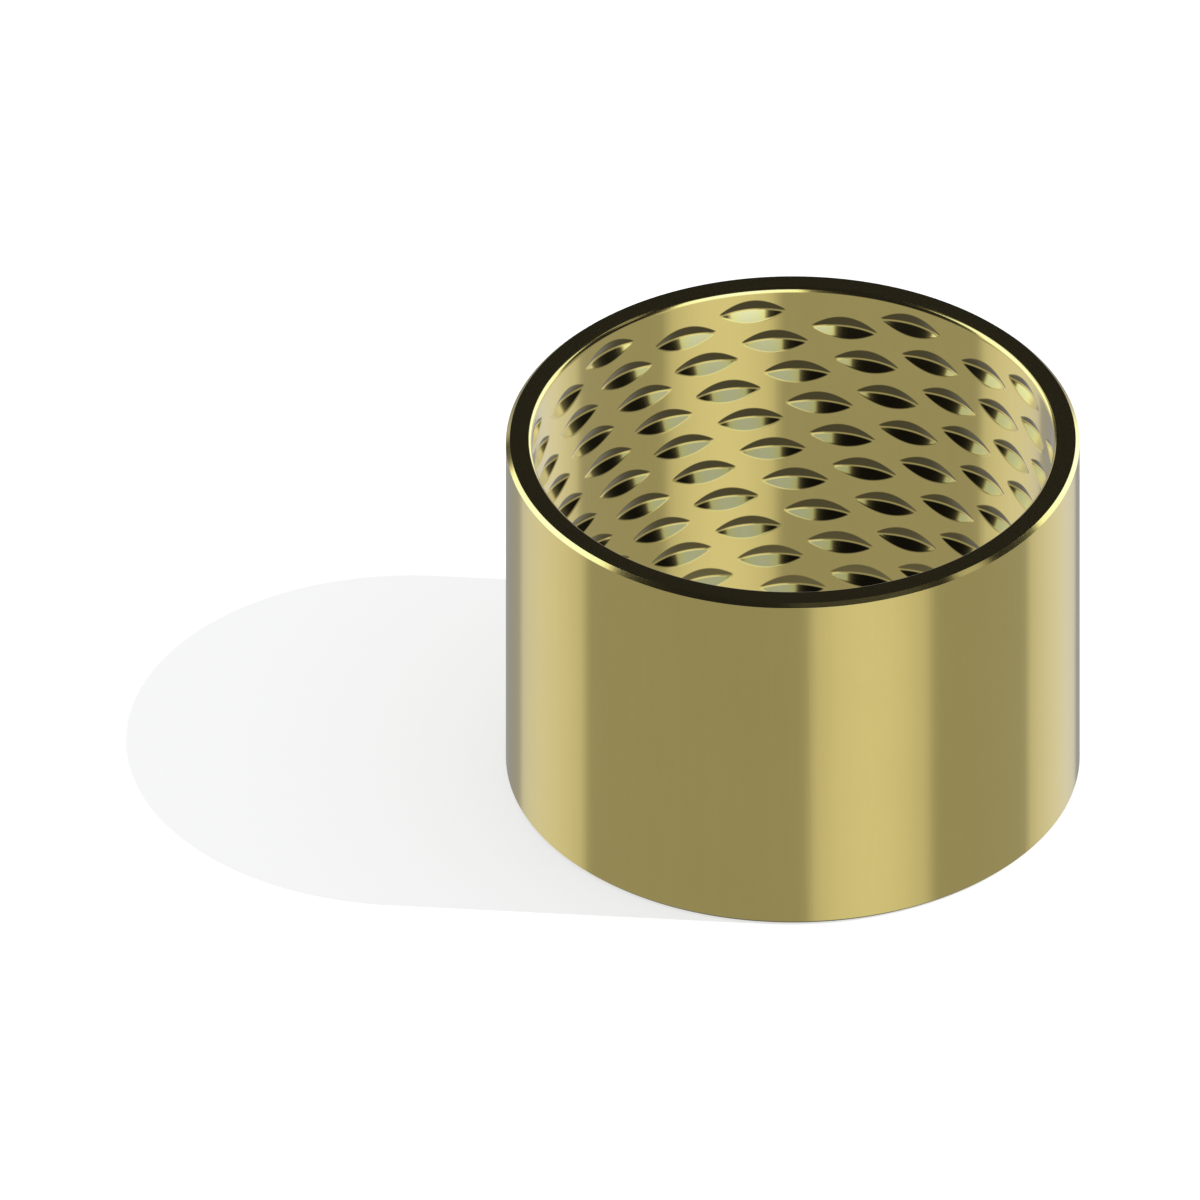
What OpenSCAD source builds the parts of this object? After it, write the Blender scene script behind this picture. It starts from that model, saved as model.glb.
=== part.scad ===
// Plain cylindrical bronze bush, rolled to a closed ring. Its bore is stamped all over
// with shallow lens-shaped grease pockets, set in rings that step round the bore.
// Z is the axis, the lower end face lies on Z = 0, and the Y axis points to the back.

/* [Bush] */
// Diameter of the bore that runs on the shaft
bore_d = 40; // [34:0.5:60]
// Thickness of the bronze wall
wall = 2; // [1.5:0.1:4]
// Length along the axis, from end face to end face
length = 30; // [12:0.5:50]

/* [Edges] */
// Width of the 45 degree chamfer round the outside of both ends
outer_chamfer = 0.3; // [0.1:0.05:0.6]
// Radius of the rounded bore mouth at both ends
mouth_r = 0.36; // [0.15:0.01:0.6]

/* [Pocket rings] */
// Pockets spaced evenly round each ring
pockets_round = 10; // [6:1:10]
// Distance from the upper end face to the first ring of pockets
first_ring = 2; // [1.8:0.05:6]
// Distance along the axis from one ring of pockets to the next
ring_pitch = 1.44; // [1.4:0.01:3]
// Turn from each ring of pockets to the ring above it, in degrees
ring_turn = 20.5; // [16:0.5:20.5]
// Angle of the first pocket in the upper ring, in degrees from the X axis
first_angle = 27; // [0:0.5:36]

/* [Pockets] */
// Length of a pocket round the bore, from tip to tip
pocket_l = 5.2; // [3:0.1:5.4]
// Width of a pocket along the axis, at its middle
pocket_w = 1.98; // [1.2:0.02:2.1]
// Slope of a pocket's two walls from the bore surface, in degrees
pocket_slope = 25.5; // [15:0.5:30]
// Radius of the rounded crease along a pocket's floor
crease_r = 0.45; // [0.2:0.05:0.8]

/* [Hidden] */
$fn = 96;

bore_r = bore_d / 2;

// A ring of pockets is made wherever a whole one fits above the lower margin.
rings = 1 + floor((length - 2 * first_ring) / ring_pitch);

// Each pocket is the mark of a disc with a V-shaped rim that is pressed into the bore. The disc
// turns about an axis parallel to the bush, and its rim would be sharp at vee_depth.
vee_depth = pocket_w / 2 * tan(pocket_slope);
tip_angle = asin(pocket_l / 2 / bore_r);
disc_centre = vee_depth * (2 * bore_r + vee_depth)
    / (2 * (bore_r * (1 - cos(tip_angle)) + vee_depth));
disc_r = bore_r + vee_depth - disc_centre;

// The disc's rim passes just beyond the pocket's tips, and its flanks just inside the bore.
rim_overrun = 1.5;
flank_overrun = 0.12;
// The crest's arc stands this far out of the flanks, so that it crosses them.
crest_overlap = 0.001;
rim_sweep = 2 * (asin(pocket_l / 2 / disc_r) + rim_overrun);

// Half section of the wall, with chamfered outer corners and rounded bore corners.
module wall_section() {
    difference() {
        translate([bore_r, 0]) polygon([
            [0, 0],
            [wall - outer_chamfer, 0],
            [wall, outer_chamfer],
            [wall, length - outer_chamfer],
            [wall - outer_chamfer, length],
            [0, length]
        ]);
        mouth_corner();
        translate([0, length]) mirror([0, 1]) mouth_corner();
    }
}

// What the rounding takes off one corner of the bore's mouth.
module mouth_corner() {
    translate([bore_r, 0]) difference() {
        translate([-mouth_r, -mouth_r]) square(2 * mouth_r);
        translate([mouth_r, mouth_r]) circle(mouth_r);
    }
}

// Section through the disc's rim: two flanks that run into a rounded crest.
module rim_section() {
    crest_x = disc_r - (crease_r - crest_overlap) / cos(pocket_slope);
    shoulder_x = crest_x + crease_r * cos(pocket_slope);
    shoulder_y = (disc_r - shoulder_x) / tan(pocket_slope);
    base_x = disc_r - vee_depth - flank_overrun;
    base_y = (disc_r - base_x) / tan(pocket_slope);
    polygon([
        [base_x, -base_y],
        [shoulder_x, -shoulder_y],
        [shoulder_x, shoulder_y],
        [base_x, base_y]
    ]);
    translate([crest_x, 0]) circle(crease_r);
}

// One pocket's cutter, in the middle of the bore's lower end and on the X axis.
module pocket() {
    translate([disc_centre, 0]) rotate([0, 0, -rim_sweep / 2])
        rotate_extrude(angle = rim_sweep) rim_section();
}

// Every pocket's cutter, ring by ring from the upper end down.
module pockets() {
    for (ring = [0:rings - 1], spot = [0:pockets_round - 1])
        translate([0, 0, length - first_ring - ring * ring_pitch])
            rotate([0, 0, first_angle - ring * ring_turn + spot * 360 / pockets_round])
                pocket();
}

module bushing() {
    color("darkkhaki") difference() {
        rotate_extrude() wall_section();
        pockets();
    }
}

bushing();
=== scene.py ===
"""Looks of a plain cylindrical bronze bush with a bore full of lens-shaped grease pockets.

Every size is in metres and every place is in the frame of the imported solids: Z is the
axis, the lower end face lies on Z = 0, and the camera looks along +Y from above.
"""

import logging
import math
from dataclasses import dataclass, replace
from enum import Enum, IntEnum
from functools import partialmethod
from typing import NamedTuple

import bpy
import numpy as np
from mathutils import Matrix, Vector
from mathutils.geometry import delaunay_2d_cdt


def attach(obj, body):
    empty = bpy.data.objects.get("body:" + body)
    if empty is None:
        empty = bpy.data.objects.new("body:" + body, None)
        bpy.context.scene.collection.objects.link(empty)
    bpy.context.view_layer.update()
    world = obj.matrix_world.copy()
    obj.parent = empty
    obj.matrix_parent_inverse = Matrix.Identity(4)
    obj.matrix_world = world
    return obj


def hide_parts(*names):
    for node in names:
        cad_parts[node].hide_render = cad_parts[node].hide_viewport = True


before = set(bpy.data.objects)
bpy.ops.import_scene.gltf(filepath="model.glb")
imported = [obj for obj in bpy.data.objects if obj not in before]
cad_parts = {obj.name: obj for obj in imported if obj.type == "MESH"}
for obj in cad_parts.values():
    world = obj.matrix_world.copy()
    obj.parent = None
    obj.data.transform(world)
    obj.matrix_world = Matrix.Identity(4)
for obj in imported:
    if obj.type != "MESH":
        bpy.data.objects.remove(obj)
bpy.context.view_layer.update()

LOG = logging.getLogger("bush")
MM = 0.001
TURN = 2 * math.pi
# Angle of the outside chamfers' normal from the outward radius, in degrees.
CHAMFER_SLOPE = 45
# Least value that is put under a square root, in square metres.
TINY = 1e-12
# Strength of each finer octave of noise against the one before.
FINER_SHARE = 0.55
# Kind of triangulation that keeps only what lies inside the border.
INSIDE_ONLY = 1

Faces = list[tuple[int, ...]]
Pair = tuple[float, float]
SectionRow = tuple[float, float, float, float]


class Region(IntEnum):
    """Zones of the bush with a finish of their own, in the order of its material slots."""

    OUTSIDE = 0
    END_FACE = 1
    BORE = 2


class Mark(Enum):
    """Direction in which a surface was rolled or turned."""

    ALONG_AXIS = "along the axis"
    ROUND_AXIS = "round the axis"


@dataclass
class Skin:
    """Part of the bush's surface in cylindrical terms, before it joins the other parts.

    Each row of places is (radius, angle, height), and each row of normals holds the
    outward direction's parts along the radius, round the axis and along the axis.
    """

    places: np.ndarray
    normals: np.ndarray
    faces: Faces
    region: Region

    def turned(self, angle: float) -> "Skin":
        """Gives the same skin turned about the axis."""
        return replace(self, places=self.places + np.array([0.0, angle, 0.0]))


@dataclass
class Shell:
    """Closed surface that is joined from skins."""

    skins: list[Skin]
    # Distance within which points count as shared.
    weld: float = 0.001 * MM

    def joined(self) -> tuple[np.ndarray, np.ndarray, Faces, np.ndarray]:
        """Joins the skins and welds the points that they share.

        Returns:
            Points, their normals, the faces and the region of each face.
        """
        places = np.concatenate([skin.places for skin in self.skins])
        local = np.concatenate([skin.normals for skin in self.skins])
        radius, angle, height = places.T
        cos, sin = np.cos(angle), np.sin(angle)
        points = np.stack([radius * cos, radius * sin, height], axis=1)
        outward, around, up = local.T
        turned = [outward * cos - around * sin, outward * sin + around * cos, up]
        normals = np.stack(turned, axis=1)
        keys = np.round(points / self.weld).astype(np.int64)
        _, first, shared = np.unique(keys, axis=0, return_index=True, return_inverse=True)
        shared = shared.reshape(-1)
        faces, regions, start = [], [], 0
        for skin in self.skins:
            for face in skin.faces:
                faces.append(tuple(int(shared[start + corner]) for corner in face))
                regions.append(int(skin.region))
            start += len(skin.places)
        return points[first], normals[first], faces, np.array(regions)


@dataclass(frozen=True)
class Pocket:
    """One grease pocket, the print of a disc with a V-shaped rim that was pressed in."""

    bore_radius: float = 20 * MM
    length: float = 5.2 * MM
    width: float = 1.98 * MM
    slope: float = math.radians(25.5)
    crease_radius: float = 0.45 * MM
    # The rim turns from the bore into the pocket between these depths above and below it.
    rim_blend: float = 0.066 * MM
    columns: int = 24
    # Share of the columns' spacing that crowds towards the pocket's tips.
    tip_crowding: float = 0.8
    # Widest the crease may be near the tips, as a share of the pocket's width there.
    crease_share: float = 0.62
    # Lines of points across the rim's rounding and across the crease, from side to side.
    lines: tuple[float, ...] = (-1.0, -0.5, 0.0, 0.5, 1.0)

    @property
    def disc_centre(self) -> float:
        """Distance of the disc's own axis from the bush's axis."""
        depth = self.width / 2 * math.tan(self.slope)
        rise = 1 - math.cos(math.asin(self.length / 2 / self.bore_radius))
        return depth * (2 * self.bore_radius + depth) / (2 * (self.bore_radius * rise + depth))

    @property
    def disc_radius(self) -> float:
        """Radius of the disc's rim if its crest were sharp."""
        return self.bore_radius + self.width / 2 * math.tan(self.slope) - self.disc_centre

    @property
    def crest_radius(self) -> float:
        """Radius of the circle on which the crest's rounding is centred."""
        return self.disc_radius - self.crease_radius / math.cos(self.slope)

    @property
    def disc_tip(self) -> float:
        """Radius of the disc's rim on its rounded crest."""
        return self.crest_radius + self.crease_radius

    @property
    def shoulder(self) -> float:
        """Half the width of the crest's rounding."""
        return self.crease_radius * math.sin(self.slope)

    def rim(self, across: np.ndarray) -> tuple[np.ndarray, np.ndarray]:
        """Gives the disc's radius at a distance from its middle plane.

        Args:
            across: Distances from the middle plane, along the bush's axis.

        Returns:
            The radius and its rate of change.
        """
        rounded = np.abs(across) < self.shoulder
        drop = np.sqrt(np.maximum(self.crease_radius**2 - across**2, TINY))
        flank = self.disc_radius - np.abs(across) * math.tan(self.slope)
        radius = np.where(rounded, self.crest_radius + drop, flank)
        change = np.where(rounded, -across / drop, -np.sign(across) * math.tan(self.slope))
        return radius, change

    def surface(self, turn: np.ndarray, across: np.ndarray) -> tuple[np.ndarray, np.ndarray]:
        """Gives the depth and the normal of the bore's surface in and near the pocket.

        Args:
            turn: Angles from the pocket's middle.
            across: Distances from the pocket's middle, along the axis.

        Returns:
            The depth below the bore, and the normal that points into the bore.
        """
        rim, rim_change = self.rim(across)
        centre = self.disc_centre
        reach = np.sqrt(np.maximum(rim**2 - (centre * np.sin(turn)) ** 2, TINY))
        sharp = centre * np.cos(turn) + reach - self.bore_radius
        by_turn = -centre * np.sin(turn) * (1 + centre * np.cos(turn) / reach)
        by_across = rim * rim_change / reach
        blend = self.rim_blend
        inside = np.clip((sharp + blend) / (2 * blend), 0, 1)
        depth = np.where(sharp > blend, sharp, inside**2 * blend)
        around = inside * by_turn / (self.bore_radius + depth)
        normal = np.stack([-np.ones_like(depth), around, inside * by_across], axis=1)
        return depth, normal / np.linalg.norm(normal, axis=1, keepdims=True)

    def half_length(self, level: float) -> float:
        """Angle from the pocket's middle to the tip of its outline at a depth."""
        centre, reach, tip = self.disc_centre, level + self.bore_radius, self.disc_tip
        return math.acos((reach**2 + centre**2 - tip**2) / (2 * reach * centre))

    def half_width(self, level: float, turn: np.ndarray) -> np.ndarray:
        """Gives half the width of the pocket's outline at a depth.

        Args:
            level: Depth below the bore; a negative one is above it.
            turn: Angles from the pocket's middle.

        Returns:
            Distances along the axis from the middle to the outline.
        """
        along = level + self.bore_radius - self.disc_centre * np.cos(turn)
        radius = np.hypot(along, self.disc_centre * np.sin(turn))
        flank = (self.disc_radius - radius) / math.tan(self.slope)
        rise = np.clip(radius - self.crest_radius, 0, self.crease_radius)
        rounded = np.sqrt(self.crease_radius**2 - rise**2)
        return np.where(flank > self.shoulder, flank, rounded)

    def grid(self) -> tuple[np.ndarray, Faces]:
        """Lays out the pocket's points and faces.

        The first points are the outermost outline, in order, starting at one tip.

        Returns:
            Rows of (angle, distance along the axis) from the pocket's middle, and faces
            that run anticlockwise where the angle grows to the right and height upwards.
        """
        steps = np.linspace(-1, 1, self.columns + 1)
        crowded = np.sin(steps * math.pi / 2)
        spread = self.tip_crowding * crowded + (1 - self.tip_crowding) * steps
        rows: list[np.ndarray] = []
        for share in self.lines:
            level = share * self.rim_blend
            turn = spread * self.half_length(level)
            width = self.half_width(level, turn)
            width[0] = width[-1] = 0
            lower = np.stack([turn[:-1], -width[:-1]], axis=1)
            upper = np.stack([turn[:0:-1], width[:0:-1]], axis=1)
            rows.append(np.concatenate([lower, upper]))
        faces: Faces = []
        count = 2 * self.columns
        for ring in range(len(rows) - 1):
            outer, inner = ring * count, (ring + 1) * count
            for i in range(count):
                j = (i + 1) % count
                faces.append((outer + i, outer + j, inner + j, inner + i))
        last = (len(rows) - 1) * count
        turn = rows[-1][: self.columns, 0]
        width = self.half_width(self.rim_blend, turn)
        edge = np.minimum(self.shoulder, width * self.crease_share)
        tips = (last, last + self.columns)
        previous = [last + i for i in range(self.columns + 1)]
        total = len(rows) * count
        for share in self.lines:
            rows.append(np.stack([turn[1:], edge[1:] * share], axis=1))
            current = [tips[0], *range(total, total + self.columns - 1), tips[1]]
            total += self.columns - 1
            faces += self.band(previous, current)
            previous = current
        upper = [tips[0], *[last + count - i for i in range(1, self.columns)], tips[1]]
        faces += self.band(previous, upper)
        return np.concatenate(rows), faces

    @staticmethod
    def band(lower: list[int], upper: list[int]) -> Faces:
        """Joins two rows of as many points, which share their first and last one."""
        corners = zip(lower[:-1], lower[1:], upper[1:], upper[:-1])
        return [tuple(dict.fromkeys(four)) for four in corners]


@dataclass(frozen=True)
class Bore:
    """The bore's wall with its pockets, in strips that slant with the columns of pockets."""

    pocket: Pocket = Pocket()
    length: float = 30 * MM
    # Height of both mouths' rounding, at which the plain wall starts and ends.
    mouth_height: float = 0.43 * MM
    pockets_round: int = 10
    first_ring: float = 2 * MM
    ring_pitch: float = 1.44 * MM
    ring_turn: float = math.radians(20.5)
    first_angle: float = math.radians(27)
    # Points along a strip's short and long sides, and the spacing of those between.
    short_steps: int = 18
    long_steps: int = 41
    filling: float = 0.75 * MM
    # Clearance of the filling points from the pockets, as a depth above the bore.
    filling_gap: float = 0.14 * MM
    # Distance within which the filling takes two points for one, in millimetres.
    filling_weld: float = 1e-6

    @property
    def rings(self) -> int:
        """Number of rings of pockets from end to end."""
        return 1 + math.floor((self.length - 2 * self.first_ring) / self.ring_pitch)

    @property
    def slant(self) -> float:
        """Angle by which a column of pockets turns for each metre along the axis."""
        return (self.ring_turn - math.pi / self.pockets_round) / self.ring_pitch

    @property
    def high(self) -> float:
        """Height at which the wall's upper end runs into the rounded mouth."""
        return self.length - self.mouth_height

    def middle(self, height: float | np.ndarray) -> float | np.ndarray:
        """Angle of a strip's middle line at a height, in the strip's own frame."""
        return self.slant * (height - (self.length - self.first_ring))

    def start_angle(self, height: float) -> float:
        """Angle of one strip's side at a height, where the mouth's points start."""
        return self.first_angle + self.middle(height) - math.pi / self.pockets_round / 2

    def skins(self) -> list[Skin]:
        """Makes the bore's wall.

        Returns:
            One skin for each of its strips.
        """
        made: list[Skin] = []
        share = TURN / self.pockets_round
        for parity in (0, 1):
            strip = self.strip(parity)
            for spot in range(self.pockets_round):
                made.append(strip.turned(self.first_angle - parity * share / 2 + spot * share))
        return made

    def strip(self, parity: int) -> Skin:
        """Makes the strip that carries every second ring's pockets.

        Args:
            parity: 0 for the rings 0, 2, 4 and so on, and 1 for the rings between.

        Returns:
            The strip, with its middle at angle 0 at the height of the upper ring.
        """
        grid, pocket_faces = self.pocket.grid()
        outline = 2 * self.pocket.columns
        rings = np.arange(parity, self.rings, 2)
        heights = self.length - self.first_ring - rings * self.ring_pitch
        places, normals, faces = [], [], []
        depth, normal = self.pocket.surface(grid[:, 0], grid[:, 1])
        for index, height in enumerate(heights):
            angle = self.middle(height) + grid[:, 0]
            radius = self.pocket.bore_radius + depth
            places.append(np.stack([radius, angle, height + grid[:, 1]], axis=1))
            normals.append(normal)
            start = index * len(grid)
            faces += [tuple(start + corner for corner in face) for face in pocket_faces]
        loops = [range(i * len(grid), i * len(grid) + outline) for i in range(len(heights))]
        flat = self.flat_points(heights)
        bare = np.concatenate([np.full((len(flat), 1), self.pocket.bore_radius), flat], axis=1)
        start = len(heights) * len(grid)
        places.append(bare)
        normals.append(np.tile([-1.0, 0.0, 0.0], (len(bare), 1)))
        everything = np.concatenate(places)
        border = range(start, start + 2 * (self.short_steps + self.long_steps))
        faces += self.fill(everything, loops, border, range(border.stop, len(everything)))
        inward = [face[::-1] for face in faces]
        return Skin(everything, np.concatenate(normals), inward, Region.BORE)

    def flat_points(self, heights: np.ndarray) -> np.ndarray:
        """Lays points on the strip's border, in order, and between its pockets.

        Args:
            heights: Heights of the strip's pockets.

        Returns:
            Rows of (angle, height).
        """
        half = math.pi / self.pockets_round / 2
        across = np.linspace(-half, half, self.short_steps + 1)[:-1]
        low, high = self.mouth_height, self.high
        along = np.linspace(low, high, self.long_steps + 1)[:-1]
        falling = along[::-1] + (along[1] - along[0])
        side = np.full(len(along), half)
        offsets = np.concatenate([across, side, -across, -side])
        ends = np.full(len(across), low), np.full(len(across), high)
        levels = np.concatenate([ends[0], along, ends[1], falling])
        border = np.stack([self.middle(levels) + offsets, levels], axis=1)
        between = []
        columns = round(2 * half * self.pocket.bore_radius / self.filling)
        rows = round((high - low) / self.filling)
        for row in range(1, rows):
            height = low + (high - low) * row / rows
            for column in range(1, columns):
                angle = self.middle(height) + half * (2 * column / columns - 1)
                if self.clear_of(angle, height, heights):
                    between.append((angle, height))
        return np.concatenate([border, np.array(between)])

    def clear_of(self, angle: float, height: float, heights: np.ndarray) -> bool:
        """Says whether a point keeps clear of every pocket in its strip.

        Args:
            angle: The point's angle in the strip's frame.
            height: The point's height.
            heights: Heights of the strip's pockets.

        Returns:
            True where the point lies on the plain wall.
        """
        turns = angle - self.middle(heights)
        near = np.abs(turns) < self.pocket.half_length(-self.filling_gap)
        width = self.pocket.half_width(-self.filling_gap, turns)
        return not np.any(near & (np.abs(height - heights) < width))

    def fill(self, places: np.ndarray, loops: list[range], border: range, loose: range) -> Faces:
        """Fills the plain wall between the pockets with triangles.

        Args:
            places: The strip's points as (radius, angle, height).
            loops: The points of each pocket's outermost outline, in order.
            border: The points of the strip's border, in order.
            loose: The points between them.

        Returns:
            Triangles, anticlockwise where the angle grows to the right.
        """
        chosen = [i for loop in loops for i in loop] + list(border) + list(loose)
        around = places[chosen, 1] * self.pocket.bore_radius
        flat = np.stack([around, places[chosen, 2]], axis=1) / MM
        owner = np.full(len(chosen), -1)
        edges: list[tuple[int, int]] = []
        start = 0
        for index, loop in enumerate([*loops, border]):
            count = len(loop)
            edges += [(start + i, start + (i + 1) % count) for i in range(count)]
            if index < len(loops):
                owner[start : start + count] = index
            start += count
        points = [Vector(point) for point in flat]
        found = delaunay_2d_cdt(points, edges, [], INSIDE_ONLY, self.filling_weld)
        original = [sources[0] for sources in found[3]]
        triangles: Faces = []
        for face in found[2]:
            corners = [original[corner] for corner in face]
            owners = {int(owner[corner]) for corner in corners}
            # A triangle between the points of one pocket would cover that pocket.
            if len(owners) == 1 and -1 not in owners:
                continue
            one, two, three = (flat[corner] for corner in corners)
            area = (two[0] - one[0]) * (three[1] - one[1]) - (two[1] - one[1]) * (three[0] - one[0])
            ordered = corners if area > 0 else corners[::-1]
            triangles.append(tuple(chosen[corner] for corner in ordered))
        return triangles


@dataclass(frozen=True)
class Wall:
    """Everything but the bore: rounded mouths, end faces, chamfers and the outside."""

    bore: Bore = Bore()
    thickness: float = 2 * MM
    chamfer: float = 0.3 * MM
    # Width across the wall of the mouth's rounding, which is a little higher than wide.
    mouth_width: float = 0.33 * MM
    # Radii of the small rounding on the chamfer's upper and lower edge.
    face_edge: float = 0.02 * MM
    side_edge: float = 0.015 * MM
    mouth_steps: int = 10
    edge_steps: int = 2
    outside_steps: int = 8

    @property
    def radius(self) -> float:
        """Outside radius of the bush."""
        return self.bore.pocket.bore_radius + self.thickness

    def arc(
        self, centre: Pair, size: Pair, start: float, end: float, steps: int
    ) -> list[SectionRow]:
        """Gives rows of an arc in the wall's section.

        Args:
            centre: Radius and height of the arc's centre.
            size: Radius of the arc across and along the wall.
            start: Angle at which it starts, in degrees from the outward radius.
            end: Angle at which it ends.
            steps: Number of steps between.

        Returns:
            Rows of (radius, height, normal along the radius, normal along the axis).
        """
        rows = []
        for i in range(steps + 1):
            angle = math.radians(start + (end - start) * i / steps)
            cos, sin = math.cos(angle), math.sin(angle)
            place = (centre[0] + size[0] * cos, centre[1] + size[1] * sin)
            length = math.hypot(cos / size[0], sin / size[1])
            rows.append((*place, cos / size[0] / length, sin / size[1] / length))
        return rows

    def upper_end(self) -> list[tuple[float, float, float, float, Region]]:
        """Gives rows of the section from the bore's upper end to the outside.

        Returns:
            Rows like those of arc(), each with the region that starts at it.
        """
        top, mouth = self.bore.length, (self.mouth_width, self.bore.mouth_height)
        at_mouth = (self.bore.pocket.bore_radius + mouth[0], top - mouth[1])
        # What a rounding of radius 1 takes off each side of the chamfer's edges.
        slack = math.tan(math.radians(CHAMFER_SLOPE / 2))
        at_face = (self.radius - self.chamfer - self.face_edge * slack, top - self.face_edge)
        at_side = (self.radius - self.side_edge, top - self.chamfer - self.side_edge * slack)
        mouth_rows = self.arc(at_mouth, mouth, 180, 90, self.mouth_steps)
        edges = self.arc(at_face, (self.face_edge,) * 2, 90, CHAMFER_SLOPE, self.edge_steps)
        edges += self.arc(at_side, (self.side_edge,) * 2, CHAMFER_SLOPE, 0, self.edge_steps)
        rows = [(*row, Region.BORE) for row in mouth_rows[:-1]]
        rows.append((*mouth_rows[-1], Region.END_FACE))
        rows += [(*row, Region.OUTSIDE) for row in edges]
        return rows

    def skins(self) -> list[Skin]:
        """Makes the wall's surface, from the bore's upper end round to its lower end.

        Returns:
            One skin for each region.
        """
        upper = self.upper_end()
        lower = [(r, self.bore.length - z, nr, -nz, region) for r, z, nr, nz, region in upper]
        count = 2 * self.bore.pockets_round * self.bore.short_steps
        step = TURN / count
        upper_start = self.bore.start_angle(self.bore.high)
        lower_start = self.bore.start_angle(self.bore.mouth_height)
        lower_start += round((upper_start - lower_start) / step) * step
        rows = [(*row, upper_start) for row in upper]
        high, low = upper[-1][1], lower[-1][1]
        for i in range(1, self.outside_steps):
            share = i / self.outside_steps
            start = upper_start + (lower_start - upper_start) * share
            rows.append((self.radius, high + (low - high) * share, 1.0, 0.0, Region.OUTSIDE, start))
        back = [(*row, lower_start) for row in reversed(lower)]
        # A strip between two rows takes the finish of the row nearer the bore.
        rows += [
            (*row[:4], back[i + 1][4] if i + 1 < len(back) else row[4], row[5])
            for i, row in enumerate(back)
        ]
        return self.revolve(rows, count)

    def revolve(self, rows: list[tuple], count: int) -> list[Skin]:
        """Turns the section's rows about the axis.

        Args:
            rows: Rows of (radius, height, two parts of the normal, region, first angle).
            count: Number of points round the axis.

        Returns:
            One skin for each region.
        """
        angles = np.arange(count) * TURN / count
        places, normals = [], []
        for radius, height, along_radius, along_axis, _, start in rows:
            spots = [np.full(count, radius), angles + start, np.full(count, height)]
            places.append(np.stack(spots, axis=1))
            normals.append(np.tile([along_radius, 0.0, along_axis], (count, 1)))
        everything, directions = np.concatenate(places), np.concatenate(normals)
        skins: list[Skin] = []
        for region in Region:
            faces: Faces = []
            for index, row in enumerate(rows[:-1]):
                if row[4] is not region:
                    continue
                near, far = index * count, (index + 1) * count
                for i in range(count):
                    j = (i + 1) % count
                    faces.append((near + i, far + i, far + j, near + j))
            skins.append(Skin(everything, directions, faces, region))
        return skins


class Ramp(NamedTuple):
    """Smooth change from one level to another, between two values of what it follows."""

    start: float
    end: float
    low: float = 0.0
    high: float = 1.0


class Grain(Enum):
    """Random variation, as its patches in a metre and its octaves of finer patches."""

    LINES = (5200, 2)
    BANDS = (900, 3)
    CLOUDS = (110, 2)
    SPECKS = (900, 4)
    PAINT = (14, 3)


@dataclass(frozen=True, eq=False)
class Level:
    """Value that runs from node to node; each step of arithmetic with it adds a node."""

    sheet: "NodeSheet"
    socket: bpy.types.NodeSocket

    def step(self, operation: str, other: "Level | float") -> "Level":
        """Works on this value and another one."""
        return self.sheet.maths(operation, self, other)

    __add__ = partialmethod(step, "ADD")
    __sub__ = partialmethod(step, "SUBTRACT")
    __mul__ = partialmethod(step, "MULTIPLY")
    __truediv__ = partialmethod(step, "DIVIDE")
    at_least = partialmethod(step, "MAXIMUM")
    at_most = partialmethod(step, "MINIMUM")

    def __rsub__(self, other: float) -> "Level":
        """Takes this value away from a number."""
        return self.sheet.maths("SUBTRACT", other, self)

    def __abs__(self) -> "Level":
        """Drops the sign."""
        return self.sheet.maths("ABSOLUTE", self)

    def fade(self, reach: "Level | float") -> "Level":
        """Gives a level that falls off evenly from 1, to about a third at the reach."""
        return self.sheet.maths("POWER", math.e, self / reach * -1.0)

    def ease(self, ramp: Ramp) -> "Level":
        """Gives the level of a ramp that follows this value."""
        made = self.sheet.node("ShaderNodeMapRange", (self, *ramp), interpolation_type="SMOOTHSTEP")
        return Level(self.sheet, made.outputs["Result"])

    def window(self, start: float, end: float, soft: float) -> "Level":
        """Gives a mask that is 1 between two values, with sides that are soft over a width."""
        rising = self.ease(Ramp(start - soft / 2, start + soft / 2))
        return rising * self.ease(Ramp(end - soft / 2, end + soft / 2, 1, 0))


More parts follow.
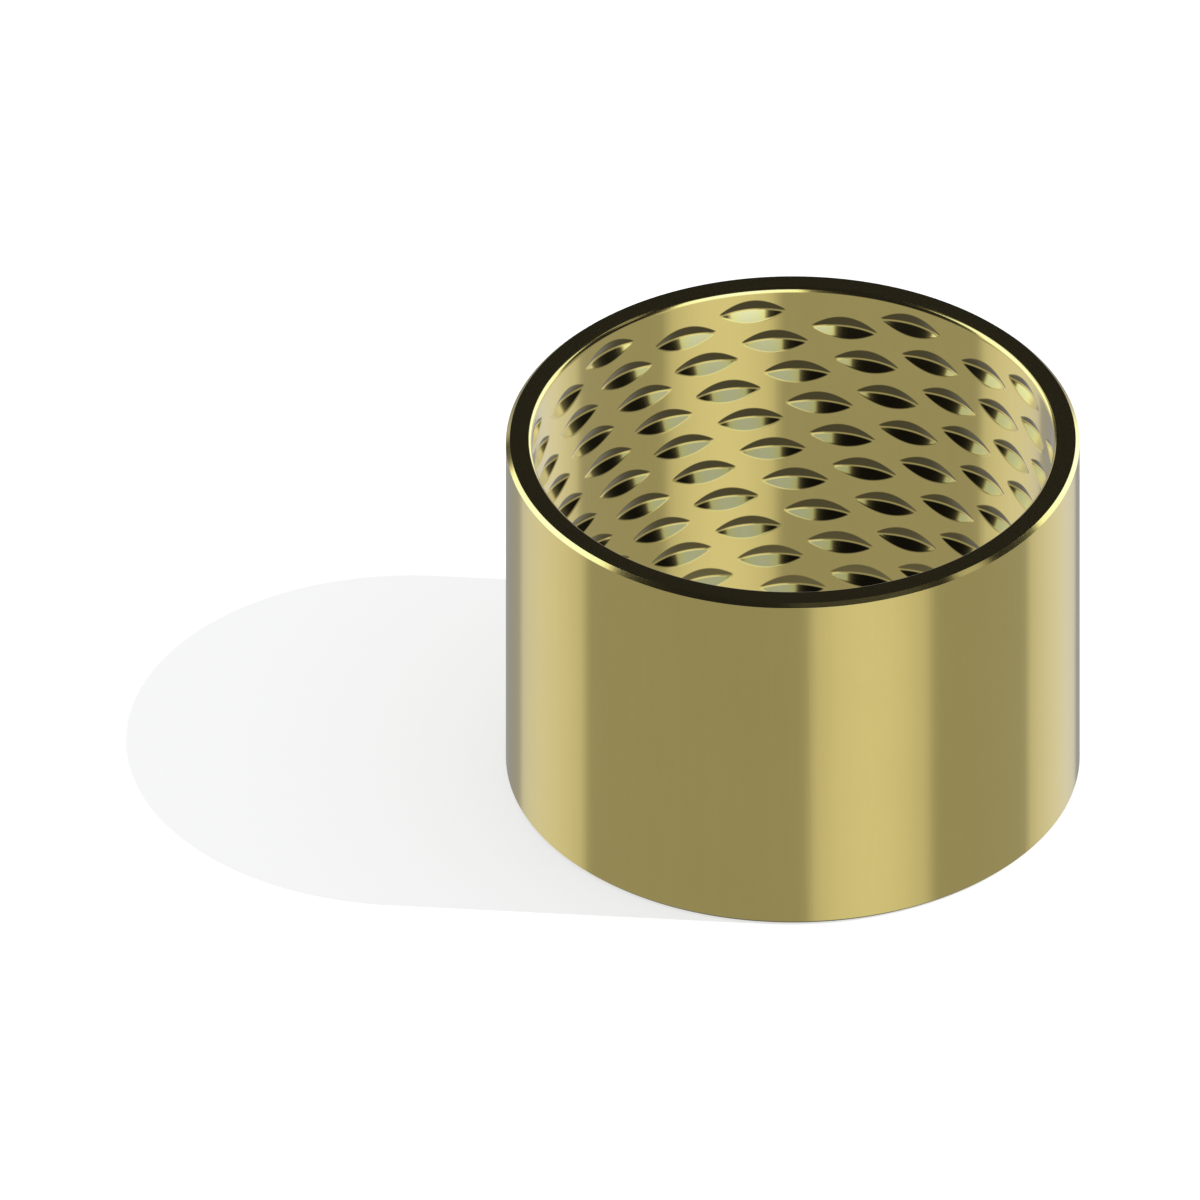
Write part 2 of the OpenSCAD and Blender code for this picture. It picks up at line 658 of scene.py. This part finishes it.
class NodeSheet:
    """Short hand for laying out the nodes of a material, a group or the studio."""

    def __init__(self, tree: bpy.types.NodeTree) -> None:
        """Starts from an empty tree."""
        self.tree = tree
        tree.nodes.clear()

    def node(
        self, kind: str, inputs: dict[str, object] | tuple[object, ...] = (), **settings: object
    ) -> bpy.types.Node:
        """Adds a node.

        Args:
            kind: Blender's name of the node.
            inputs: What its inputs get, by name or in order: levels, outputs or plain values.
            settings: Its properties.

        Returns:
            The new node.
        """
        made = self.tree.nodes.new(kind)
        for name, value in settings.items():
            setattr(made, name, value)
        for key, value in inputs.items() if isinstance(inputs, dict) else enumerate(inputs):
            self.put(made.inputs[key], value)
        return made

    def put(self, socket: bpy.types.NodeSocket, value: object) -> None:
        """Links an input to a level or an output, or gives it a plain value.

        Args:
            socket: The input.
            value: What it gets.
        """
        given = value.socket if isinstance(value, Level) else value
        if isinstance(given, bpy.types.NodeSocket):
            self.tree.links.new(given, socket)
        else:
            socket.default_value = given

    def maths(self, operation: str, *values: Level | float) -> Level:
        """Adds one step of arithmetic with these values."""
        made = self.node("ShaderNodeMath", values, operation=operation)
        return Level(self, made.outputs[0])

    def split(self, vector: bpy.types.NodeSocket) -> list[Level]:
        """Splits a place or a direction into its parts along X, Y and Z."""
        made = self.node("ShaderNodeSeparateXYZ", (vector,))
        return [Level(self, part) for part in made.outputs]

    def place(self) -> bpy.types.NodeSocket:
        """Gives a point's place on its piece."""
        return self.node("ShaderNodeTexCoord").outputs["Object"]

    def round_axis(self) -> tuple[Level, Level, Level, Level]:
        """Gives a point's place along and round the bush's axis.

        Returns:
            The point's distance from the axis, its direction's two parts, and its height.
        """
        x, y, z = self.split(self.place())
        radius = self.maths("SQRT", x * x + y * y)
        return radius, x / radius, y / radius, z

    def noise(self, place: bpy.types.NodeSocket, grain: Grain) -> Level:
        """Adds soft random variation round 0, by the place on a surface."""
        inputs = dict(zip(("Scale", "Detail"), grain.value), Roughness=FINER_SHARE, Vector=place)
        return Level(self, self.node("ShaderNodeTexNoise", inputs).outputs["Fac"]) - 0.5


class Effect:
    """Shader node group that finishes place with values of their own."""

    def __init__(self, name: str, inputs: dict[str, float], outputs: tuple[str, ...]) -> None:
        """Makes the group's interface.

        Args:
            name: Name of the group.
            inputs: Names of its inputs with their usual values.
            outputs: Names of its outputs.
        """
        self.group = bpy.data.node_groups.new(name, "ShaderNodeTree")
        for side, labels in (("INPUT", inputs), ("OUTPUT", dict.fromkeys(outputs, 0.0))):
            for label, value in labels.items():
                self.group.interface.new_socket(
                    label, in_out=side, socket_type="NodeSocketFloat"
                ).default_value = value
        self.sheet = NodeSheet(self.group)
        given = self.sheet.node("NodeGroupInput").outputs
        self.source = {label: Level(self.sheet, given[label]) for label in inputs}
        self.result = self.sheet.node("NodeGroupOutput").inputs

    def give(self, label: str, value: Level) -> None:
        """Sends a level to one of the group's outputs."""
        self.sheet.put(self.result[label], value)

    def on(self, sheet: NodeSheet, **values: float) -> dict[str, Level]:
        """Places the group in a material with these values, and gives its outputs by name."""
        made = sheet.node("ShaderNodeGroup", values, node_tree=self.group)
        return {socket.name: Level(sheet, socket) for socket in made.outputs}


@dataclass(frozen=True)
class PocketShade:
    """How light and shade lie on the walls of the pockets and on the plain wall between."""

    length: float
    first_ring: float
    # Direction to the light, as its parts to the front and up.
    light_front: float = 0.8165
    light_up: float = 0.577
    # How far a wall leans up and to the light, from where its shade starts to where it is full.
    leaning: Ramp = Ramp(0.08, 0.32)
    # The mouth's rounding isn't a pocket, though it also leans up.
    off_mouth: Ramp = Ramp(-1.5 * MM, -1.2 * MM)
    # How far a wall faces down, in two steps that add up to 1.
    steep: Ramp = Ramp(-0.26, -0.057, 0.25, 0)
    slight: Ramp = Ramp(-0.1, 0.0, 0.75, 0)
    # The most that the floor's light adds to a wall that faces down.
    floor_limit: float = 1.08
    # How far a wall may lean and still be the plain one, and how its painted light (a painted sheen
    # in its colour) runs from end to end.
    plain: Ramp = Ramp(0.02, 0.2, 1, 0)
    sheen_foot: float = 0.4
    sheen_rise: float = 0.6

    def effect(self) -> Effect:
        """Makes the effect.

        Returns:
            The effect, whose output is the share of light that a wall keeps. It is more than
            1 on the plain wall, and where the floor throws light up through the lower mouth.
        """
        inputs = {
            "Mouth level": 0.82,
            "Deep level": 0.365,
            "Side gain": 0.11,
            "Fade": 2.6 * MM,
            "Under level": 0.74,
            "Floor gain": 3.58,
            "Floor fade": 3.3 * MM,
            "Painted sheen": 0.055,
        }
        made = Effect("pocket shade", inputs, ("Kept",))
        sheet, source = made.sheet, made.source
        _, cos, _, height = sheet.round_axis()
        _, back, up = sheet.split(sheet.node("ShaderNodeNewGeometry").outputs["Normal"])
        # A wall lies in shade as far as it leans up and to the front, less so near the mouth.
        depth = (self.length - self.first_ring) - height
        sideways = cos * cos
        deep = sideways * source["Side gain"] + source["Deep level"]
        near = depth.at_least(0.0).fade(source["Fade"])
        level = near * (source["Mouth level"] - deep) + deep
        towards = up * self.light_up - back * self.light_front
        shaded = (up * towards).ease(self.leaning) * depth.ease(self.off_mouth)
        kept = 1.0 - shaded * (1.0 - level)
        # Painted light: the plain wall's colour is a little brighter at the back and the front,
        # most near the mouth.
        rise = height * (self.sheen_rise / self.length) + self.sheen_foot
        painted_sheen = (1.0 - sideways) * rise * abs(up).ease(self.plain) * source["Painted sheen"]
        # A wall that faces down is dim, but for the light that comes up from the floor.
        floor = (height.fade(source["Floor fade"]) * source["Floor gain"]).at_most(self.floor_limit)
        thrown = (floor + 1.0) * source["Under level"]
        down = (up.ease(self.steep) + up.ease(self.slight)) * (thrown - 1.0) + 1.0
        made.give("Kept", kept * (painted_sheen + 1.0) * down)
        return made


class BushEffects:
    """The effects that the bush's finishes share, each built once."""

    # Share to which the noise is squeezed along the lines, which makes its patches long.
    SQUEEZE = 0.02

    def __init__(self, outer_radius: float, shade: PocketShade) -> None:
        """Builds every effect."""
        self.marks = {mark: self.lines(mark, outer_radius) for mark in Mark}
        self.tone = self.clouds()
        self.shade = shade.effect()

    def lines(self, mark: Mark, outer_radius: float) -> Effect:
        """Makes the fine lines that rolling or turning leaves in bronze.

        Args:
            mark: Direction of the lines.
            outer_radius: The bush's outside radius.

        Returns:
            The effect, whose outputs vary round 0.
        """
        made = Effect(f"marks {mark.value}", {"Fine": 1.0, "Broad": 1.0}, ("Lines", "Haze"))
        sheet, source = made.sheet, made.source
        radius, cos, sin, height = sheet.round_axis()
        if mark is Mark.ALONG_AXIS:
            parts = (cos * outer_radius, sin * outer_radius, height * self.SQUEEZE)
        else:
            short = self.SQUEEZE * outer_radius
            parts = (radius, cos * short, sin * short)
        place = sheet.node("ShaderNodeCombineXYZ", parts).outputs[0]
        fine, broad = sheet.noise(place, Grain.LINES), sheet.noise(place, Grain.BANDS)
        made.give("Lines", fine * source["Fine"] + broad * source["Broad"])
        made.give("Haze", broad)
        return made

    def clouds(self) -> Effect:
        """Makes the cloudy change of tone of bare bronze.

        Returns:
            The effect, whose output varies round 0.
        """
        made = Effect("bronze clouds", {"Large": 1.0, "Small": 1.0}, ("Cloud",))
        sheet, source = made.sheet, made.source
        place = sheet.place()
        large, small = sheet.noise(place, Grain.CLOUDS), sheet.noise(place, Grain.SPECKS)
        made.give("Cloud", large * source["Large"] + small * source["Small"])
        return made


class Coat:
    """Material with one shader for a whole surface."""

    def __init__(self, name: str) -> None:
        """Makes the material and its shader."""
        self.material = bpy.data.materials.new(name)
        self.material.use_nodes = True
        self.sheet = NodeSheet(self.material.node_tree)
        self.shader = self.sheet.node("ShaderNodeBsdfPrincipled")
        self.sheet.node("ShaderNodeOutputMaterial", {"Surface": self.shader.outputs["BSDF"]})

    def put(self, name: str, value: object) -> None:
        """Gives one of the shader's sockets a level or a plain value."""
        self.sheet.put(self.shader.inputs[name], value)

    def tint(self, colour: tuple[float, float, float], level: Level) -> None:
        """Gives the shader a colour that a level makes lighter or darker from place to place."""
        scaled = self.sheet.node(
            "ShaderNodeVectorMath", {"Vector": colour, "Scale": level}, operation="SCALE"
        )
        self.put("Base Color", scaled.outputs[0])


@dataclass(frozen=True)
class BronzeFinish:
    """Bare bronze strip metal as one region of the bush shows it."""

    name: str
    marks: Mark
    # Whether the region has pockets, whose walls lie in light and shade of their own.
    pocketed: bool = False
    colour: tuple[float, float, float] = (0.48, 0.40, 0.143)
    roughness: float = 0.12
    least_roughness: float = 0.02
    # Share by which clouds and lines change the colour, and haze the roughness.
    cloud: float = 0.05
    lines: float = 0.07
    haze: float = 0.03
    bump: float = 0.002 * MM

    def material(self, effects: BushEffects) -> bpy.types.Material:
        """Makes the finish's material.

        Args:
            effects: The effects that the finishes share.

        Returns:
            The material.
        """
        coat = Coat(self.name)
        marks = effects.marks[self.marks].on(coat.sheet, Fine=0.6, Broad=0.7)
        clouds = effects.tone.on(coat.sheet, Large=1.0, Small=0.5)
        level = clouds["Cloud"] * self.cloud + marks["Lines"] * self.lines + 1.0
        if self.pocketed:
            # The pocket shade paints light and shade into the colour: painted shade on pocket walls
            # that lean up and on walls that face down, a painted sheen on the plain wall, and
            # painted light from the floor near the lower mouth.
            level = level * effects.shade.on(coat.sheet)["Kept"]
        coat.tint(self.colour, level)
        coat.put("Metallic", 1.0)
        roughness = marks["Haze"] * self.haze + self.roughness
        coat.put("Roughness", roughness.at_least(self.least_roughness))
        inputs = {"Strength": 1.0, "Distance": self.bump, "Height": marks["Lines"]}
        bump = coat.sheet.node("ShaderNodeBump", inputs)
        coat.put("Normal", bump.outputs["Normal"])
        return coat.material


def stand(name: str, data: bpy.types.ID) -> bpy.types.Object:
    """Makes an object of a mesh, a lamp or a lens, and links it into the scene."""
    bpy.context.scene.collection.objects.link(made := bpy.data.objects.new(name, data))
    return made


@dataclass(frozen=True)
class BronzeBush:
    """The whole bush: one closed ring of bronze with a pocketed bore."""

    wall: Wall = Wall()
    rolled: BronzeFinish = BronzeFinish("rolled bronze outside", Mark.ALONG_AXIS)
    turned: BronzeFinish = BronzeFinish("turned bronze end", Mark.ROUND_AXIS)
    pressed: BronzeFinish = BronzeFinish("pocketed bronze bore", Mark.ALONG_AXIS, pocketed=True)

    def build(self) -> bpy.types.Object:
        """Builds the bush's mesh and dresses it.

        Returns:
            The object, linked into the scene.
        """
        shell = Shell(self.wall.bore.skins() + self.wall.skins())
        points, normals, faces, regions = shell.joined()
        mesh = bpy.data.meshes.new("bronze_bush")
        mesh.from_pydata(points.tolist(), [], faces)
        mesh.polygons.foreach_set("use_smooth", np.ones(len(faces), dtype=bool))
        shade = PocketShade(self.wall.bore.length, self.wall.bore.first_ring)
        effects = BushEffects(self.wall.radius, shade)
        # The materials stand in the order of the regions.
        for finish in (self.rolled, self.turned, self.pressed):
            mesh.materials.append(finish.material(effects))
        mesh.polygons.foreach_set("material_index", regions.astype(np.int32))
        mesh.update()
        mesh.normals_split_custom_set_from_vertices(normals.tolist())
        made = stand("bronze_bush", mesh)
        # The studio's light is made for a bush that doesn't mirror its own bore.
        made.visible_glossy = False
        triangles = sum(len(face) - 2 for face in faces)
        LOG.info("bronze bush: %d points, %d triangles", len(points), triangles)
        return made


class Sight(NamedTuple):
    """Direction in which the studio is seen, in degrees.

    Azimuth is 0 towards the camera and grows to the right. Elevation is 0 at the horizon.
    """

    azimuth: Level
    elevation: Level


@dataclass(frozen=True)
class LightPanel:
    """One soft light panel of the studio, by the directions in which the bush sees it."""

    left: float
    right: float
    bottom: float
    top: float
    level: float
    soft: float = 5.0
    soft_ends: float = 5.0
    # Share by which the panel is dimmer at its sides than in its middle.
    falloff: float = 0.0
    # Faint spill of its light into the dark round it, the angle over which that fades, and
    # how much faster it fades upwards.
    spill: float = 0.0
    spill_fade: float = 5.0
    spill_rise: float = 2.0

    def light(self, sight: Sight) -> Level:
        """Gives the panel's own light and what it spills to its sides and upwards.

        Args:
            sight: The direction.

        Returns:
            The light.
        """
        azimuth, elevation = sight
        wide = azimuth.window(self.left, self.right, self.soft)
        light = wide * elevation.window(self.bottom, self.top, self.soft_ends) * self.level
        if self.falloff:
            half = (self.right - self.left) / 2
            offset = (azimuth - (self.left + half)) / half
            light = light * (1.0 - offset * offset * self.falloff)
        if self.spill:
            aside = (self.left - azimuth).at_least(azimuth - self.right).at_least(0.0)
            above = (elevation - self.top).at_least(0.0)
            away = above * self.spill_rise + aside
            light = light + away.fade(self.spill_fade) * self.spill
        return light


@dataclass(frozen=True)
class FloorGlow:
    """One panel's light that the studio's floor mirrors."""

    left: float
    right: float
    peak: float
    level: float
    soft: float = 5.0
    # What the glow loses in each square degree away from its peak.
    sag: float = 0.0005

    def over(self, floor: Level, azimuth: Level) -> Level:
        """Lays the glow over the floor.

        Args:
            floor: The floor's light so far.
            azimuth: The direction's azimuth.

        Returns:
            The floor's light with the glow.
        """
        offset = azimuth - self.peak
        level = offset * offset * -self.sag + self.level
        return azimuth.window(self.left, self.right, self.soft) * (level - floor) + floor


@dataclass(frozen=True)
class Studio:
    """Dark studio with a few panels, which the bronze mirrors, and white all round it."""

    panels: tuple[LightPanel, ...] = (
        LightPanel(-4.7, 49.5, -90, 42.5, 3.3, soft=6, falloff=0.47, spill=0.6, spill_fade=4.1),
        LightPanel(
            -134.5, -82.3, -90, 57, 3.15, soft=6.5, falloff=0.33, spill=0.55, spill_fade=4.7
        ),
        LightPanel(109.5, 156, -90, 42, 3.5, soft=6, falloff=0.4, spill=0.25, spill_fade=7),
        # Dimmer ones: an open door on the left, and lamps above the panels.
        LightPanel(-165, -145.5, -90, 16, 0.85),
        LightPanel(-155, -138, 30, 60, 1.0),
        LightPanel(73, 88, 36, 45, 0.9),
        LightPanel(94, 146, 53, 60, 0.8),
        LightPanel(156, 166, -90, 12, 0.7),
        LightPanel(0, 64, 44, 62, 0.06, soft=14),
    )
    glows: tuple[FloorGlow, ...] = (
        FloorGlow(6.7, 58, 31, 1.355, soft=6, sag=0.00053),
        FloorGlow(-142.5, -92.4, -114.5, 1.265, soft=6, sag=0.00045),
        FloorGlow(109.9, 160, 130, 1.21, soft=5.5),
    )
    # The brightest red and green that the panels have; only their blue goes beyond.
    red_limit: float = 2.083
    green_limit: float = 2.5
    # The blue's share of the light, and the faint blue haze that fills the dark.
    blue: float = 0.985
    blue_haze: float = 0.014
    backdrop: float = 1.06
    # Elevations between which the floor gives way to the light of the panel in front, to
    # that of the panels at the sides, and to the dark.
    front_rise: Ramp = Ramp(-21, 0)
    side_rise: Ramp = Ramp(-12.5, 3)
    fall: Ramp = Ramp(-11.5, 3.2)
    # Azimuths, to either side, between which the front gives way to the sides.
    front_to_side: Ramp = Ramp(55, 80)
    dark: float = 0.026
    # The floor's light by azimuth, to either side, from the front to the back.
    floor_round: Ramp = Ramp(130, 168, 0.625, 0.40)
    # Straight down, the bronze sees the dark foot of the table it stands on. The floor takes
    # over from it in two steps that add up to 1.
    floor_below: float = 0.16
    floor_steep: Ramp = Ramp(-65, -41, 0, 0.25)
    floor_flat: Ramp = Ramp(-46, -34.5, 0, 0.75)

    def build(self) -> None:
        """Makes the studio as the scene's world, which is white where it isn't mirrored."""
        world = bpy.data.worlds.new("studio")
        world.use_nodes = True
        bpy.context.scene.world = world
        sheet = NodeSheet(world.node_tree)
        seen = self.mirrored(self.sight(sheet))
        red, green = seen.at_most(self.red_limit), seen.at_most(self.green_limit)
        blue = seen * self.blue + self.blue_haze
        tinted = sheet.node("ShaderNodeCombineColor", (red, green, blue)).outputs[0]
        seen = sheet.node("ShaderNodeBackground", (tinted, 1.0)).outputs[0]
        white = sheet.node("ShaderNodeBackground", ((1, 1, 1, 1), self.backdrop)).outputs[0]
        by_mirror = sheet.node("ShaderNodeLightPath").outputs["Is Glossy Ray"]
        mixed = sheet.node("ShaderNodeMixShader", (by_mirror, white, seen)).outputs[0]
        sheet.node("ShaderNodeOutputWorld", {"Surface": mixed})

    def sight(self, sheet: NodeSheet) -> Sight:
        """Gives the direction in which the studio is seen.

        Args:
            sheet: The world's nodes.

        Returns:
            The direction.
        """
        x, y, z = sheet.split(sheet.node("ShaderNodeTexCoord").outputs["Generated"])
        angles = (sheet.maths("ARCTAN2", x, y * -1.0), sheet.maths("ARCSINE", z))
        return Sight(*(sheet.maths("DEGREES", angle) for angle in angles))

    def mirrored(self, sight: Sight) -> Level:
        """Gives the light that the bronze mirrors.

        Args:
            sight: The direction from which it comes.

        Returns:
            The light: the floor below the horizon, and the panels in the dark above it.
        """
        azimuth, elevation = sight
        above: Level | float = self.dark
        for panel in self.panels:
            above = panel.light(sight) + above
        below = abs(azimuth).ease(self.floor_round)
        for glow in self.glows:
            below = glow.over(below, azimuth)
        share = elevation.ease(self.floor_steep) + elevation.ease(self.floor_flat)
        below = (below - self.floor_below) * share + self.floor_below
        step = above - below
        front, side = elevation.ease(self.front_rise), elevation.ease(self.side_rise)
        brighter = abs(azimuth).ease(self.front_to_side) * (side - front) + front
        darker = elevation.ease(self.fall)
        return below + step.at_least(0.0) * brighter + step.at_most(0.0) * darker


@dataclass(frozen=True)
class KeyLight:
    """Soft lamp from the right, which only casts the bush's shadow on the floor."""

    towards: tuple[float, float, float] = (29.5, -2.5, 30.0)
    strength: float = 3.2
    spread: float = math.radians(0.3)

    def build(self) -> None:
        """Makes the lamp."""
        lamp = bpy.data.lights.new("key_light", "SUN")
        lamp.energy = self.strength
        lamp.angle = self.spread
        made = stand("key_light", lamp)
        made.rotation_euler = Vector(self.towards).to_track_quat("Z", "Y").to_euler()
        made.visible_glossy = False


@dataclass(frozen=True)
class PaleFloor:
    """White floor of the studio, lit from within, which the bush stands on."""

    reach: float = 1.5
    colour: tuple[float, float, float] = (0.325, 0.327, 0.334)
    glow: float = 0.604
    # How the paint's faint unevenness changes its colour.
    uneven: Ramp = Ramp(-0.3, 0.3, 0.995, 1.005)

    def build(self) -> bpy.types.Object:
        """Makes the floor.

        Returns:
            The floor's object.
        """
        mesh = bpy.data.meshes.new("floor")
        sides = ((-1, -1), (1, -1), (1, 1), (-1, 1))
        corners = [(x * self.reach, y * self.reach, 0.0) for x, y in sides]
        mesh.from_pydata(corners, [], [(0, 1, 2, 3)])
        mesh.materials.append(self.material())
        made = stand("floor", mesh)
        made.visible_glossy = False
        return made

    def material(self) -> bpy.types.Material:
        """Makes the floor's paint.

        Returns:
            The material.
        """
        coat = Coat("white floor")
        level = coat.sheet.noise(coat.sheet.place(), Grain.PAINT).ease(self.uneven)
        coat.tint(self.colour, level)
        coat.put("Roughness", 1.0)
        coat.put("Specular IOR Level", 0.0)
        coat.put("Emission Color", (1, 1, 1, 1))
        coat.put("Emission Strength", self.glow)
        return coat.material


@dataclass(frozen=True)
class StudioCamera:
    """Camera without perspective, looking down on the bush at the photograph's angle."""

    picture_width: float = 92.0 * MM
    elevation: float = math.radians(35.264)
    aim: tuple[float, float, float] = (-14.78 * MM, -7.10 * MM, 19.96 * MM)
    distance: float = 0.4
    nearest: float = 0.01
    farthest: float = 10.0

    def build(self) -> None:
        """Makes the camera and gives it to the scene."""
        lens = bpy.data.cameras.new("camera")
        lens.type = "ORTHO"
        lens.ortho_scale = self.picture_width
        lens.clip_start = self.nearest
        lens.clip_end = self.farthest
        made = stand("camera", lens)
        away = Vector((0, -math.cos(self.elevation), math.sin(self.elevation)))
        made.location = Vector(self.aim) + away * self.distance
        made.rotation_euler = (math.pi / 2 - self.elevation, 0, 0)
        bpy.context.scene.camera = made


def main() -> None:
    """Builds the studio and the bush."""
    logging.basicConfig(level=logging.INFO, format="%(name)s: %(message)s")
    bpy.context.scene.view_settings.view_transform = "Standard"
    StudioCamera().build()
    Studio().build()
    KeyLight().build()
    PaleFloor().build()
    bush = BronzeBush().build()
    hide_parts("bushing")
    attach(bush, "root")


if __name__ == "__main__":
    main()
